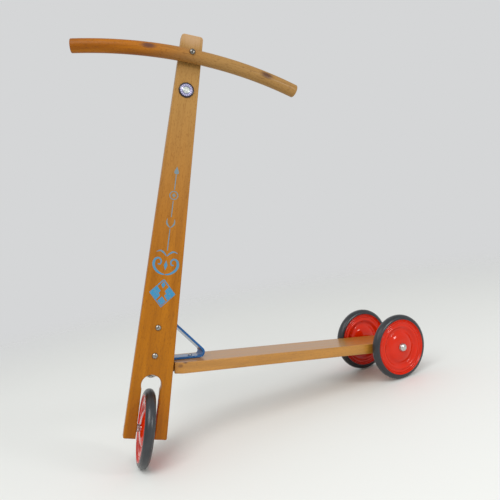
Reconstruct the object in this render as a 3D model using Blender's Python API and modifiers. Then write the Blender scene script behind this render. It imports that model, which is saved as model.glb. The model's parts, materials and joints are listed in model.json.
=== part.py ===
"""A wooden kick scooter with two rear wheels and a steered front wheel.

The plank deck rises to a steel hinge pin.  The stem board turns on that pin and carries the
handlebar and, in a slot at its foot, the front wheel.  The stem stands steered to one side.
Forward is -Y, up is +Z, the rider's left is +X, and the wheels stand on Z = 0.
"""

import math

import bmesh
import bpy

# ---------------------------------------------------------------- driving dimensions, metres
GAP = 0.0003                     # between pieces that touch or are cut for each other

WHEEL_RADIUS = 0.075
TYRE_HALF_WIDTH = 0.0102         # also the radius of the rounded tread
TYRE_SEAT_RADIUS = 0.0612
TYRE_SEAT_HALF = 0.0042
HUB_HALF_LENGTH = 0.0125
HUB_RADIUS = 0.0056
AXLE_RADIUS = 0.0040
WHEEL_SIDES = 28
DISC_SHEET = 0.0008
# The pressed disc from its centre hole to the tyre's lip, as (radius, height off the middle).
DISC_PROFILE = ((HUB_RADIUS + GAP, 0.0119), (0.0340, 0.0092), (0.0400, 0.0053), (0.0500, 0.0083),
                (0.0590, 0.0068), (0.0632, 0.0096), (0.0600, 0.0050), (0.0600, 0.0011))
CAP_RADIUS = 0.0095              # push-on caps at the ends of the rear axle
CAP_RISE = 0.0050
CAP_SKIRT = 0.0022
CAP_DEPTH = 0.0035
THRUST_WASHER_RADIUS = 0.0085
SPACER_RADIUS = 0.0075
AXLE_INSET = 0.0010              # front axle's ends below the board's sides

TRACK = 0.1372                   # between the middle planes of the rear wheels
REAR_AXLE_Y = 0.5714             # behind the foot of the steering axis

HEAD_ANGLE = math.radians(17.95)     # the steering axis leans back by this
STEERED = math.radians(78.0)         # how far the stem stands turned to the rider's left
WHEEL_BELOW = 0.1051             # front axle below the reference point, along the axis
WHEEL_AHEAD = 0.0295             # front axle ahead of the steering axis

DECK_SLOPE = math.radians(10.46)
DECK_TOP_AT_AXLE = 0.0845
DECK_THICKNESS = 0.0222
DECK_HALF_FRONT = 0.0475
DECK_HALF_REAR = 0.0540
DECK_BEHIND_AXLE = 0.0300
NOSE_RADIUS = 0.0135
NOSE_CENTRE_Y = -0.0015
# The shoulder, cut back for the stem and with its outer corner sawn off, as (x, y).
SHOULDER = ((0.0165, 0.0385), (0.0395, 0.0335), (DECK_HALF_FRONT, 0.0490))
REAR_CORNER = 0.0060

STEM_FRONT = 0.0394              # front face ahead of the steering axis
STEM_THICKNESS = 0.0200
STEM_BOTTOM = -0.1241
STEM_TOP = 0.6742
STEM_HALF_BOTTOM = 0.0418
STEM_HALF_TOP = 0.0217
STEM_TOP_CORNER = 0.0060
STEM_FOOT_CORNER = 0.0030
SLOT_HALF = 0.0180
SLOT_HOLE_RADIUS = 0.0196
SLOT_HOLE_HEIGHT = -0.0213
SLOT_OVERLAP = 0.0080            # the slot starts this far below the round hole's middle

BAR_HEIGHT = 0.6262
BAR_HALF_SPAN = 0.2268
BAR_DROOP = 0.0197
BAR_SWEEP = 0.0233
BAR_RADIUS = 0.0135
BAR_SEAT = 0.0122                # flat seat behind the bar's middle
BAR_SEAT_HALF = 0.0300
BAR_POINTS = 19
BAR_BOLT_HEIGHT = BAR_HEIGHT + 0.0040

STRAP_THICKNESS = 0.0045
STRAP_HALF_WIDTH = 0.0155
STRAP_REACH = 0.1239             # where the middle lines of its two arms cross
STRAP_ANGLE = math.radians(43.4)
STRAP_BEND = 0.01075
TAB_HEIGHT = 0.0980              # upper tab above the deck, along the pin
TAB_BEND = 0.0050
STRAP_AHEAD = 0.0130             # both ends of the strap, ahead of the pin
STRAP_END_RADIUS = 0.0110
STRAP_SCREWS = (0.0350, 0.0800)  # behind the pin, along the deck
SCREW_RADIUS = 0.0018
SCREW_HEAD_RADIUS = 0.0042
SCREW_HEAD_RISE = 0.0022
SCREW_LENGTH = 0.0180

PIN_RADIUS = 0.0040
PIN_HEAD_RADIUS = 0.0100
PIN_HEAD_RISE = 0.0060
PIN_TAIL = 0.0085                # pin above the upper ear
PIN_NUT_FLATS = 0.0130
PIN_NUT_HEIGHT = 0.0065
PIN_WASHER_RADIUS = 0.0085
WASHER_THICKNESS = 0.0012
EAR_LOW = -0.0078
EAR_HIGH = 0.1227
BRACKET_THICKNESS = 0.0025
BRACKET_HALF_WIDTH = 0.0125
BRACKET_BEND = 0.0025
EAR_REACH = 0.0120               # ears' round ends, behind the pin's axis
EAR_END_RADIUS = 0.0100

BOLT_RADIUS = 0.0025
BOLT_HEAD_RADIUS = 0.0057
BOLT_HEAD_RISE = 0.0034
BOLT_TAIL = 0.0050               # bolt past its nut's seat
BAR_BOLT_TAIL = 0.0070
HEAD_EDGE = 0.0008               # straight rim under each dome
NUT_FLATS = 0.0080
NUT_HEIGHT = 0.0040
BAR_WASHER_RADIUS = 0.0065
BOLT_HEIGHTS = (0.0353, 0.0895)
BADGE_HEIGHT = 0.5611
BADGE_RADIUS = 0.0158
# Flat middle and raised rim, as (radius, height off the board).
BADGE_PROFILE = ((0.0, 0.0016), (0.0105, 0.0016), (0.0120, 0.0026), (0.0142, 0.0026),
                 (BADGE_RADIUS, 0.0012), (BADGE_RADIUS, GAP), (0.0, GAP))

CENTRE_X = 0.006725              # middle of the whole object, moved onto the origin
CENTRE_Y = 0.28118

# ---------------------------------------------------------------- worked out from the above
# The leaning front wheel just reaches the floor with its rounded tread.
WHEEL_LEAN = math.asin(math.sin(HEAD_ANGLE) * math.sin(STEERED))
FRONT_CENTRE_Z = (WHEEL_RADIUS - TYRE_HALF_WIDTH) * math.cos(WHEEL_LEAN) + TYRE_HALF_WIDTH
AXIS_Z = (FRONT_CENTRE_Z + WHEEL_BELOW * math.cos(HEAD_ANGLE)
          - WHEEL_AHEAD * math.sin(HEAD_ANGLE) * math.cos(STEERED))
# The point where the steering axis passes through the deck's top face.
LEAN = math.tan(HEAD_ANGLE)
DECK_RISE = math.tan(DECK_SLOPE)
PIN_Z = ((DECK_TOP_AT_AXLE + REAR_AXLE_Y * DECK_RISE + DECK_RISE * LEAN * AXIS_Z)
         / (1 + DECK_RISE * LEAN))
PIN_Y = LEAN * (PIN_Z - AXIS_Z)
PIN_TO_DECK = HEAD_ANGLE - DECK_SLOPE        # between the pin and the deck's normal
DECK_ALONG_AXIS = (PIN_Z - AXIS_Z) / math.cos(HEAD_ANGLE)
DECK_LENGTH = (REAR_AXLE_Y - PIN_Y) / math.cos(DECK_SLOPE)

# ---------------------------------------------------------------- scene and small helpers
for old in list(bpy.data.objects):
    bpy.data.objects.remove(old, do_unlink=True)

scooter = bpy.data.collections.new("kick_scooter")
cutters = bpy.data.collections.new("cutters")
bpy.context.scene.collection.children.link(scooter)
bpy.context.scene.collection.children.link(cutters)


def material(name, colour, roughness, metallic=0.0):
    """Return a Principled material with one colour."""
    made = bpy.data.materials.new(name)
    made.use_nodes = True
    shader = made.node_tree.nodes["Principled BSDF"]
    shader.inputs["Base Color"].default_value = (*colour, 1.0)
    shader.inputs["Roughness"].default_value = roughness
    shader.inputs["Metallic"].default_value = metallic
    return made


WOOD = material("lacquered_beech", (0.42, 0.18, 0.04), 0.4)
RED_PAINT = material("red_enamel", (0.55, 0.04, 0.02), 0.25)
BLUE_PAINT = material("blue_enamel", (0.02, 0.10, 0.35), 0.3)
RUBBER = material("black_rubber", (0.04, 0.04, 0.045), 0.8)
ZINC = material("zinc_plated_steel", (0.62, 0.62, 0.60), 0.3, 1.0)
BADGE = material("badge_enamel", (0.30, 0.30, 0.38), 0.3, 0.5)


def empty(name, parent=None, location=(0, 0, 0), rotation=(0, 0, 0)):
    """Add a guide that other objects are placed by."""
    guide = bpy.data.objects.new(name, None)
    guide.empty_display_size = 0.02
    guide.parent = parent
    guide.location = location
    guide.rotation_euler = rotation
    scooter.objects.link(guide)
    return guide


def add(name, mesh, finish, parent, location=(0, 0, 0), rotation=(0, 0, 0)):
    """Add a named piece made of this mesh."""
    piece = bpy.data.objects.new(name, mesh)
    piece.parent = parent
    piece.location = location
    piece.rotation_euler = rotation
    if not mesh.materials:
        mesh.materials.append(finish)
    scooter.objects.link(piece)
    return piece


def cut(piece, mesh, location=(0, 0, 0), rotation=(0, 0, 0), parent=None):
    """Cut this mesh out of a piece; by default it is placed in the piece's own frame."""
    number = len(piece.modifiers)
    cutter = bpy.data.objects.new(f"{piece.name}_cutter_{number}", mesh)
    cutter.parent = parent or piece
    cutter.location = location
    cutter.rotation_euler = rotation
    cutter.hide_render = True
    cutter.display_type = 'WIRE'
    cutters.objects.link(cutter)
    boolean = piece.modifiers.new(f"cut_{number}", 'BOOLEAN')
    boolean.operation = 'DIFFERENCE'
    boolean.solver = 'EXACT'
    boolean.object = cutter


def mesh_from(bm, name):
    """Turn a bmesh into a mesh with its normals pointing out."""
    bmesh.ops.recalc_face_normals(bm, faces=bm.faces)
    mesh = bpy.data.meshes.new(name)
    bm.to_mesh(mesh)
    bm.free()
    return mesh


def rod(name, radius, length, sides=20):
    """A cylinder along Z, centred on the origin."""
    bm = bmesh.new()
    bmesh.ops.create_cone(bm, cap_ends=True, segments=sides, radius1=radius, radius2=radius,
                          depth=length)
    mesh = mesh_from(bm, name)
    mesh.shade_smooth()
    mesh.set_sharp_from_angle(angle=math.radians(35))
    return mesh


def block(name, size, centre=(0, 0, 0)):
    """A box of this size about this centre."""
    bm = bmesh.new()
    bmesh.ops.create_cube(bm, size=1.0)
    bmesh.ops.scale(bm, vec=size, verts=bm.verts)
    bmesh.ops.translate(bm, vec=centre, verts=bm.verts)
    return mesh_from(bm, name)


def plate(name, outline, thickness):
    """A flat piece with this (x, y) outline, from Z = 0 up to its thickness."""
    bm = bmesh.new()
    face = bm.faces.new([bm.verts.new((x, y, 0.0)) for x, y in outline])
    raised = bmesh.ops.extrude_face_region(bm, geom=[face])["geom"]
    bmesh.ops.translate(bm, vec=(0, 0, thickness),
                        verts=[v for v in raised if isinstance(v, bmesh.types.BMVert)])
    return mesh_from(bm, name)


def profile_mesh(name, points, closed):
    """The edges of a profile of (radius, height) points, standing at +X."""
    bm = bmesh.new()
    corners = [bm.verts.new((radius, 0.0, height)) for radius, height in points]
    for first, second in zip(corners, corners[1:]):
        bm.edges.new((first, second))
    if closed:
        bm.edges.new((corners[-1], corners[0]))
    mesh = bpy.data.meshes.new(name)
    bm.to_mesh(mesh)
    bm.free()
    return mesh


def turn(piece, steps):
    """Turn the piece's profile into a solid about its Z axis."""
    screw = piece.modifiers.new("turned", 'SCREW')
    screw.steps = steps
    screw.render_steps = steps
    screw.use_merge_vertices = True
    screw.merge_threshold = 0.00001
    screw.use_smooth_shade = True


def ring_profile(inner, outer, low, high):
    """A washer or tube: its outer side runs down."""
    return [(outer, high), (outer, low), (inner, low), (inner, high)]


def ring(name, inner, outer, low, high, finish, parent, location=(0, 0, 0),
         rotation=(0, 0, 0), steps=20):
    """A tube or washer about its Z axis, from low to high."""
    mesh = profile_mesh(name, ring_profile(inner, outer, low, high), closed=True)
    piece = add(name, mesh, finish, parent, location, rotation)
    turn(piece, steps)
    return piece


def dome_points(radius, rise, base, steps=3):
    """A dome's profile from its top on the axis down to its rim at the base."""
    return [(radius * math.sin(math.pi / 2 * i / steps),
             base + rise * math.cos(math.pi / 2 * i / steps)) for i in range(steps + 1)]


def dome_bolt(name, head_radius, head_rise, shank_radius, shank_length, finish, parent,
              location, rotation):
    """A bolt along -Z from its seat at the origin, with a domed head above it."""
    points = dome_points(head_radius, head_rise, GAP + HEAD_EDGE)
    points += [(head_radius, GAP), (shank_radius, GAP), (shank_radius, -shank_length),
               (0.0, -shank_length)]
    piece = add(name, profile_mesh(name, points, closed=False), finish, parent, location,
                rotation)
    turn(piece, 16)


def hex_nut(name, bore, across_flats, height, finish, parent, location, rotation):
    """A six-sided nut about its Z axis, its middle on the origin."""
    mesh = rod(name, across_flats / math.sqrt(3), height, sides=6)
    piece = add(name, mesh, finish, parent, location, rotation)
    cut(piece, rod(name + "_bore", bore, 3 * height))


def rounded_path(corners, radii, steps=4):
    """A path through these corners, each inner one rounded by an arc of its radius."""
    path = [corners[0]]
    for before, corner, after, radius in zip(corners, corners[1:], corners[2:], radii):
        back = (before[0] - corner[0], before[1] - corner[1])
        ahead = (after[0] - corner[0], after[1] - corner[1])
        start = math.atan2(back[1], back[0])
        turned = (math.atan2(ahead[1], ahead[0]) - start + math.pi) % (2 * math.pi) - math.pi
        reach = radius / abs(math.sin(turned / 2))
        middle = start + turned / 2
        centre = (corner[0] + reach * math.cos(middle), corner[1] + reach * math.sin(middle))
        sweep = math.copysign(math.pi - abs(turned), turned)
        first = math.pi + middle + sweep / 2
        for i in range(steps + 1):
            angle = first - sweep * i / steps
            path.append((centre[0] + radius * math.cos(angle),
                         centre[1] + radius * math.sin(angle)))
    path.append(corners[-1])
    return path


def bent_strip(name, path, half_width, thickness, end_radius, finish, parent, location=(0, 0, 0),
               rotation=(0, 0, 0)):
    """A flat steel strip along a path in the YZ plane, with rounded ends."""
    bm = bmesh.new()
    rows = [[bm.verts.new((side * half_width, y, z)) for side in (-1, 1)] for y, z in path]
    for low, high in zip(rows, rows[1:]):
        bm.faces.new((low[0], low[1], high[1], high[0]))
    bmesh.ops.bevel(bm, geom=rows[0] + rows[-1], offset=end_radius, segments=4, profile=0.5,
                    affect='VERTICES')
    piece = add(name, mesh_from(bm, name), finish, parent, location, rotation)
    solid = piece.modifiers.new("thickness", 'SOLIDIFY')
    solid.thickness = thickness
    solid.offset = 0.0
    solid.use_even_offset = True
    return piece


# ---------------------------------------------------------------- guides
stance = empty("stance", location=(-CENTRE_X, -CENTRE_Y, 0))
deck_frame = empty("deck_frame", stance, (0, PIN_Y, PIN_Z), (-DECK_SLOPE, 0, 0))
pin_frame = empty("pin_frame", stance, (0, 0, AXIS_Z), (-HEAD_ANGLE, 0, 0))
steering = empty("steering", pin_frame, rotation=(0, 0, STEERED))
ALONG_Y = (math.pi / 2, 0, 0)        # turns +Z to -Y, forward
BACK_Y = (-math.pi / 2, 0, 0)        # turns +Z to +Y, rearward
ALONG_X = (0, math.pi / 2, 0)        # turns +Z to +X


# ---------------------------------------------------------------- the deck plank
def deck_outline():
    """The right half of the plank from its nose to its square rear end, as (x, y)."""
    steps = 6
    points = [(NOSE_RADIUS * math.sin(math.pi / 2 * i / steps),
               NOSE_CENTRE_Y - NOSE_RADIUS * math.cos(math.pi / 2 * i / steps))
              for i in range(steps + 1)]
    rear = DECK_LENGTH + DECK_BEHIND_AXLE
    points += [*SHOULDER, (DECK_HALF_REAR, rear - REAR_CORNER),
               (DECK_HALF_REAR - REAR_CORNER, rear)]
    return points


def build_deck():
    """The plank: rounded nose on the pin, cut-back shoulders, a cross hole for the axle."""
    half = deck_outline()
    outline = half + [(-x, y) for x, y in reversed(half[1:])]
    deck = add("deck_board", plate("deck_board", outline, DECK_THICKNESS), WOOD, deck_frame,
               (0, 0, -DECK_THICKNESS))
    cut(deck, rod("pin_hole", PIN_RADIUS + GAP, 0.08), rotation=(-PIN_TO_DECK, 0, 0),
        parent=deck_frame)
    cut(deck, rod("axle_hole", AXLE_RADIUS + GAP, 0.2, sides=20),
        location=(0, REAR_AXLE_Y, WHEEL_RADIUS), rotation=ALONG_X, parent=stance)
    for place in STRAP_SCREWS:
        cut(deck, rod("screw_hole", SCREW_RADIUS + GAP, 0.036, sides=12), (0, place, 0),
            parent=deck_frame)


build_deck()


# ---------------------------------------------------------------- the steel brace strap
def build_strap():
    """The V-shaped strap: it lies on the deck, bends back over and reaches the pin's top."""
    level = STRAP_THICKNESS / 2 + GAP
    lean = (math.sin(PIN_TO_DECK), math.cos(PIN_TO_DECK))
    tab = (TAB_HEIGHT * lean[0], TAB_HEIGHT * lean[1])
    # The upper arm's line and the tab's line cross where the strip is bent.
    rise = (-math.cos(STRAP_ANGLE), math.sin(STRAP_ANGLE))
    back = (lean[1], -lean[0])
    offset = (STRAP_REACH - tab[0], level - tab[1])
    across = back[0] * rise[1] - back[1] * rise[0]
    along = (offset[0] * rise[1] - offset[1] * rise[0]) / across
    bend = (tab[0] + along * back[0], tab[1] + along * back[1])
    front = (tab[0] - STRAP_AHEAD * back[0], tab[1] - STRAP_AHEAD * back[1])
    corners = [(-STRAP_AHEAD, level), (STRAP_REACH, level), bend, front]
    path = rounded_path(corners, (STRAP_BEND, TAB_BEND))
    strap = bent_strip("brace_strap", path, STRAP_HALF_WIDTH, STRAP_THICKNESS,
                       STRAP_END_RADIUS, BLUE_PAINT, deck_frame)
    cut(strap, rod("strap_pin_hole", PIN_RADIUS + GAP, 0.30), rotation=(-PIN_TO_DECK, 0, 0))
    for place in STRAP_SCREWS:
        cut(strap, rod("strap_screw_hole", SCREW_RADIUS + GAP, 0.012, sides=12),
            location=(0, place, 0))


build_strap()


def build_strap_screws():
    """Two round-head wood screws through the strap's lower arm."""
    for end, place in zip(("front", "rear"), STRAP_SCREWS):
        dome_bolt(f"strap_screw_{end}", SCREW_HEAD_RADIUS, SCREW_HEAD_RISE, SCREW_RADIUS,
                  SCREW_LENGTH, ZINC, deck_frame, (0, place, STRAP_THICKNESS + GAP), (0, 0, 0))


build_strap_screws()


# ---------------------------------------------------------------- wheels
def tyre_profile():
    """The solid tyre: a round tread and a flat inner side, as (radius, height)."""
    crown = WHEEL_RADIUS - TYRE_HALF_WIDTH
    points = []
    steps = 6
    for i in range(steps + 1):
        angle = math.pi / 2 * (1 - 2 * i / steps)
        points.append((crown + TYRE_HALF_WIDTH * math.cos(angle),
                       TYRE_HALF_WIDTH * math.sin(angle)))
    return points + [(TYRE_SEAT_RADIUS, -TYRE_SEAT_HALF), (TYRE_SEAT_RADIUS, TYRE_SEAT_HALF)]


def build_wheel(prefix, parent, location, rotation, spin=0.0):
    """Two pressed discs back to back, a solid tyre and a hub tube, about the axle."""
    axis = empty(f"{prefix}_axis", parent, location, rotation)
    hub = ring(f"{prefix}_hub", AXLE_RADIUS + GAP, HUB_RADIUS, -HUB_HALF_LENGTH,
               HUB_HALF_LENGTH, ZINC, axis)
    hub.rotation_euler.z = spin
    tyre = add(f"{prefix}_tyre", profile_mesh(f"{prefix}_tyre", tyre_profile(), closed=True),
               RUBBER, axis, rotation=(0, 0, spin))
    turn(tyre, WHEEL_SIDES)
    for side, flip in (("outer", 0.0), ("inner", math.pi)):
        name = f"{prefix}_disc_{side}"
        disc = add(name, profile_mesh(name, DISC_PROFILE, closed=False), RED_PAINT,
                   axis, rotation=(flip, 0, spin))
        turn(disc, WHEEL_SIDES)
        shell = disc.modifiers.new("sheet", 'SOLIDIFY')
        shell.thickness = DISC_SHEET
        shell.offset = 0.0
        shell.use_even_offset = True


LEFT_X = TRACK / 2
build_wheel("rear_left", stance, (LEFT_X, REAR_AXLE_Y, WHEEL_RADIUS), ALONG_X)
build_wheel("rear_right", stance, (-LEFT_X, REAR_AXLE_Y, WHEEL_RADIUS), (0, -math.pi / 2, 0))
LOWEST = math.atan(math.tan(HEAD_ANGLE) * math.cos(STEERED))     # of the leaning wheel
build_wheel("front", steering, (0, -WHEEL_AHEAD, -WHEEL_BELOW), ALONG_X, LOWEST)


# ---------------------------------------------------------------- rear axle and its fittings
def build_rear_axle():
    """A plain rod through the plank, held by a push-on dome cap at each end."""
    cap_base = LEFT_X + HUB_HALF_LENGTH + GAP
    reach = cap_base + CAP_DEPTH
    add("rear_axle", rod("rear_axle", AXLE_RADIUS, 2 * reach), ZINC, stance,
        (0, REAR_AXLE_Y, WHEEL_RADIUS), ALONG_X)
    for side, sign in (("left", 1), ("right", -1)):
        turned = (0, sign * math.pi / 2, 0)
        place = (sign * cap_base, REAR_AXLE_Y, WHEEL_RADIUS)
        inner = AXLE_RADIUS + GAP
        points = dome_points(CAP_RADIUS, CAP_RISE, CAP_SKIRT)
        points += [(CAP_RADIUS, 0.0), (inner, 0.0), (inner, CAP_DEPTH + GAP),
                   (0.0, CAP_DEPTH + GAP)]
        cap = add(f"rear_cap_{side}", profile_mesh(f"rear_cap_{side}", points, closed=False),
                  ZINC, stance, place, turned)
        turn(cap, 20)
        ring(f"rear_washer_{side}", inner, THRUST_WASHER_RADIUS, DECK_HALF_REAR + GAP,
             LEFT_X - HUB_HALF_LENGTH - GAP, ZINC, stance, (0, REAR_AXLE_Y, WHEEL_RADIUS),
             turned)


build_rear_axle()


# ---------------------------------------------------------------- the stem board
def build_stem():
    """The tapered board: slotted foot for the wheel, holes for the axle and the bolts."""
    middle_top = (0.0, STEM_TOP)
    corners = [middle_top, (STEM_HALF_TOP, STEM_TOP), (STEM_HALF_BOTTOM, STEM_BOTTOM),
               (-STEM_HALF_BOTTOM, STEM_BOTTOM), (-STEM_HALF_TOP, STEM_TOP), middle_top]
    radii = (STEM_TOP_CORNER, STEM_FOOT_CORNER, STEM_FOOT_CORNER, STEM_TOP_CORNER)
    outline = rounded_path(corners, radii, steps=3)[:-1]
    stem = add("stem_board", plate("stem_board", outline, STEM_THICKNESS), WOOD, steering,
               (0, -STEM_FRONT + STEM_THICKNESS, 0), ALONG_Y)
    middle = -STEM_FRONT + STEM_THICKNESS / 2
    cut(stem, rod("slot_hole", SLOT_HOLE_RADIUS, 0.05, sides=32),
        (0, middle, SLOT_HOLE_HEIGHT), ALONG_Y, steering)
    slot_length = 0.2
    cut(stem, block("slot", (2 * SLOT_HALF, 0.05, slot_length)),
        (0, middle, SLOT_HOLE_HEIGHT - SLOT_OVERLAP - slot_length / 2), parent=steering)
    cut(stem, rod("front_axle_hole", AXLE_RADIUS + GAP, 0.2, sides=20),
        (0, -WHEEL_AHEAD, -WHEEL_BELOW), ALONG_X, steering)
    for height in (*BOLT_HEIGHTS, BAR_BOLT_HEIGHT):
        cut(stem, rod("bolt_hole", BOLT_RADIUS + GAP, 0.05, sides=16), (0, middle, height),
            ALONG_Y, steering)


build_stem()


# ---------------------------------------------------------------- the handlebar
def build_handlebar():
    """A round bar bent down and back at its ends, with a flat seat on the stem."""
    centre = -STEM_FRONT - GAP - BAR_SEAT
    data = bpy.data.curves.new("handlebar", 'CURVE')
    data.dimensions = '3D'
    data.bevel_depth = BAR_RADIUS
    data.bevel_resolution = 2
    data.use_fill_caps = True
    spline = data.splines.new('POLY')
    spline.points.add(BAR_POINTS - 1)
    for i, point in enumerate(spline.points):
        share = -1 + 2 * i / (BAR_POINTS - 1)
        bow = share * share
        point.co = (BAR_HALF_SPAN * share, centre + BAR_SWEEP * bow,
                    BAR_HEIGHT - BAR_DROOP * bow, 1.0)
    curve = bpy.data.objects.new("handlebar_curve", data)
    scooter.objects.link(curve)
    bpy.context.view_layer.update()
    mesh = bpy.data.meshes.new_from_object(
        curve.evaluated_get(bpy.context.evaluated_depsgraph_get()))
    bpy.data.objects.remove(curve, do_unlink=True)
    bm = bmesh.new()
    bm.from_mesh(mesh)
    bmesh.ops.remove_doubles(bm, verts=bm.verts, dist=0.00001)
    bar = add("handlebar", mesh_from(bm, "handlebar_solid"), WOOD, steering)
    seat_depth = 0.02
    cut(bar, block("seat", (2 * BAR_SEAT_HALF, seat_depth, 0.05)),
        (0, centre + BAR_SEAT + seat_depth / 2, BAR_HEIGHT))
    cut(bar, rod("bar_bolt_hole", BOLT_RADIUS + GAP, 0.06, sides=16),
        (0, centre, BAR_BOLT_HEIGHT), ALONG_Y)
    top = centre - BAR_RADIUS
    rear = -STEM_FRONT + STEM_THICKNESS
    dome_bolt("handlebar_bolt", BOLT_HEAD_RADIUS, BOLT_HEAD_RISE, BOLT_RADIUS,
              rear - top + BAR_BOLT_TAIL, ZINC, steering,
              (0, top, BAR_BOLT_HEIGHT), ALONG_Y)
    ring("handlebar_washer", BOLT_RADIUS + GAP, BAR_WASHER_RADIUS, GAP,
         GAP + WASHER_THICKNESS, ZINC, steering, (0, rear, BAR_BOLT_HEIGHT), BACK_Y)
    nut_middle = rear + 2 * GAP + WASHER_THICKNESS + NUT_HEIGHT / 2
    hex_nut("handlebar_nut", BOLT_RADIUS + GAP, NUT_FLATS, NUT_HEIGHT, ZINC, steering,
            (0, nut_middle, BAR_BOLT_HEIGHT), BACK_Y)


build_handlebar()


# ---------------------------------------------------------------- the hinge bracket and bolts
def build_bracket():
    """A C of flat steel behind the stem, whose two ears hold the hinge pin."""
    web = -STEM_FRONT + STEM_THICKNESS + GAP + BRACKET_THICKNESS / 2
    corners = [(EAR_REACH, EAR_LOW), (web, EAR_LOW), (web, EAR_HIGH), (EAR_REACH, EAR_HIGH)]
    path = rounded_path(corners, (BRACKET_BEND, BRACKET_BEND), steps=3)
    bracket = bent_strip("hinge_bracket", path, BRACKET_HALF_WIDTH, BRACKET_THICKNESS,
                         EAR_END_RADIUS, ZINC, steering)
    cut(bracket, rod("ear_holes", PIN_RADIUS + GAP, 0.30))
    for height in BOLT_HEIGHTS:
        cut(bracket, rod("web_hole", BOLT_RADIUS + GAP, 0.02, sides=16), (0, web, height),
            ALONG_Y)
    back = web + BRACKET_THICKNESS / 2 + GAP
    for place, height in zip(("lower", "upper"), BOLT_HEIGHTS):
        dome_bolt(f"bracket_bolt_{place}", BOLT_HEAD_RADIUS, BOLT_HEAD_RISE, BOLT_RADIUS,
                  STEM_FRONT + back + BOLT_TAIL, ZINC, steering, (0, -STEM_FRONT, height),
                  ALONG_Y)
        hex_nut(f"bracket_nut_{place}", BOLT_RADIUS + GAP, NUT_FLATS, NUT_HEIGHT, ZINC,
                steering, (0, back + NUT_HEIGHT / 2, height), BACK_Y)


build_bracket()


def build_pin():
    """The hinge pin: domed head under the lower ear, lock nut on the upper ear, two washers."""
    low = EAR_LOW - BRACKET_THICKNESS / 2
    high = EAR_HIGH + BRACKET_THICKNESS / 2
    dome_bolt("hinge_pin", PIN_HEAD_RADIUS, PIN_HEAD_RISE, PIN_RADIUS, high - low + PIN_TAIL,
              ZINC, steering, (0, 0, low), (math.pi, 0, 0))
    hex_nut("hinge_nut", PIN_RADIUS + GAP, PIN_NUT_FLATS, PIN_NUT_HEIGHT, ZINC, steering,
            (0, 0, high + GAP + PIN_NUT_HEIGHT / 2), (0, 0, 0))
    ring("hinge_washer_lower", PIN_RADIUS + GAP, PIN_WASHER_RADIUS, 0.0, WASHER_THICKNESS,
         ZINC, steering, (0, 0, EAR_LOW + BRACKET_THICKNESS / 2 + GAP))
    tab_top = DECK_ALONG_AXIS + TAB_HEIGHT + STRAP_THICKNESS / 2
    ring("hinge_washer_upper", PIN_RADIUS + GAP, PIN_WASHER_RADIUS, tab_top + GAP,
         EAR_HIGH - BRACKET_THICKNESS / 2 - GAP, ZINC, steering)


build_pin()


# ---------------------------------------------------------------- front axle, spacers, badge
def build_front_axle():
    """A rod through both legs of the board with a spacer tube on each side of the hub."""
    leg = STEM_HALF_BOTTOM - AXLE_INSET
    add("front_axle", rod("front_axle", AXLE_RADIUS, 2 * leg), ZINC, steering,
        (0, -WHEEL_AHEAD, -WHEEL_BELOW), ALONG_X)
    for side, sign in (("left", 1), ("right", -1)):
        ring(f"front_spacer_{side}", AXLE_RADIUS + GAP, SPACER_RADIUS, HUB_HALF_LENGTH + GAP,
             SLOT_HALF - GAP, ZINC, steering, (0, -WHEEL_AHEAD, -WHEEL_BELOW),
             (0, sign * math.pi / 2, 0))


build_front_axle()


def build_badge():
    """A round pressed badge with a raised rim, fixed flat on the stem's front face."""
    badge = add("badge", profile_mesh("badge", BADGE_PROFILE, closed=False), BADGE, steering,
                (0, -STEM_FRONT, BADGE_HEIGHT), ALONG_Y)
    turn(badge, 24)


build_badge()
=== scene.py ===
import json
import math

import bmesh
import bpy
from mathutils import Matrix, Vector


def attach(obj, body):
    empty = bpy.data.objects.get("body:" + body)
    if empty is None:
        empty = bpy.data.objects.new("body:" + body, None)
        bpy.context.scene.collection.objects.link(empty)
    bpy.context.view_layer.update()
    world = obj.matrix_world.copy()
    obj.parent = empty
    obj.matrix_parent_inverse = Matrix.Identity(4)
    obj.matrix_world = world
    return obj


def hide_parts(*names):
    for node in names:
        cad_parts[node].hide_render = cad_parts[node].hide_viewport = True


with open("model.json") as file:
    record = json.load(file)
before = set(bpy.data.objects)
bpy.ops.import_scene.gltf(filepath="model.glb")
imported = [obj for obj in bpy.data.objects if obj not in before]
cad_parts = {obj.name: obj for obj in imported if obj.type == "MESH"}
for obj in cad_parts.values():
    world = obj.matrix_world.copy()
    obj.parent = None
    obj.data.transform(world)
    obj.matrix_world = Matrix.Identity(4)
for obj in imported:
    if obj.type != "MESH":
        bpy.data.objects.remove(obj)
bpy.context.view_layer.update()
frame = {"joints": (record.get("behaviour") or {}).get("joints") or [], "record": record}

# ---------- the studio
# A pale floor that fades out around the scooter, one large soft lamp high on the left, a small
# one low on the right for crisp second highlights, and a pale room all round.
VIEW_AZIMUTH = math.radians(63.24)
VIEW_ELEVATION = math.radians(4.51)
VIEW_ROLL = math.radians(-9.81)
VIEW_DISTANCE = 1.2171
VIEW_TARGET = Vector((0.01194, -0.02689, 0.36625))
VIEW_LENS = 41.04
FLOOR_RADIUS = 3.0
FLOOR_FADE = (0.9, 2.4)
FLOOR_COLOUR = "EAEBE7"
ROOM_COLOUR = "D5D6D7"
SMOOTH_STEP = {"interpolation_type": 'SMOOTHSTEP'}
show = bpy.context.scene.collection.objects.link


def linear(code):
    """An sRGB hex colour as a linear RGBA tuple."""
    parts = [int(code[i:i + 2], 16) / 255 for i in (0, 2, 4)]
    return (*[p / 12.92 if p <= 0.04045 else ((p + 0.055) / 1.055) ** 2.4 for p in parts], 1.0)


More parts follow.
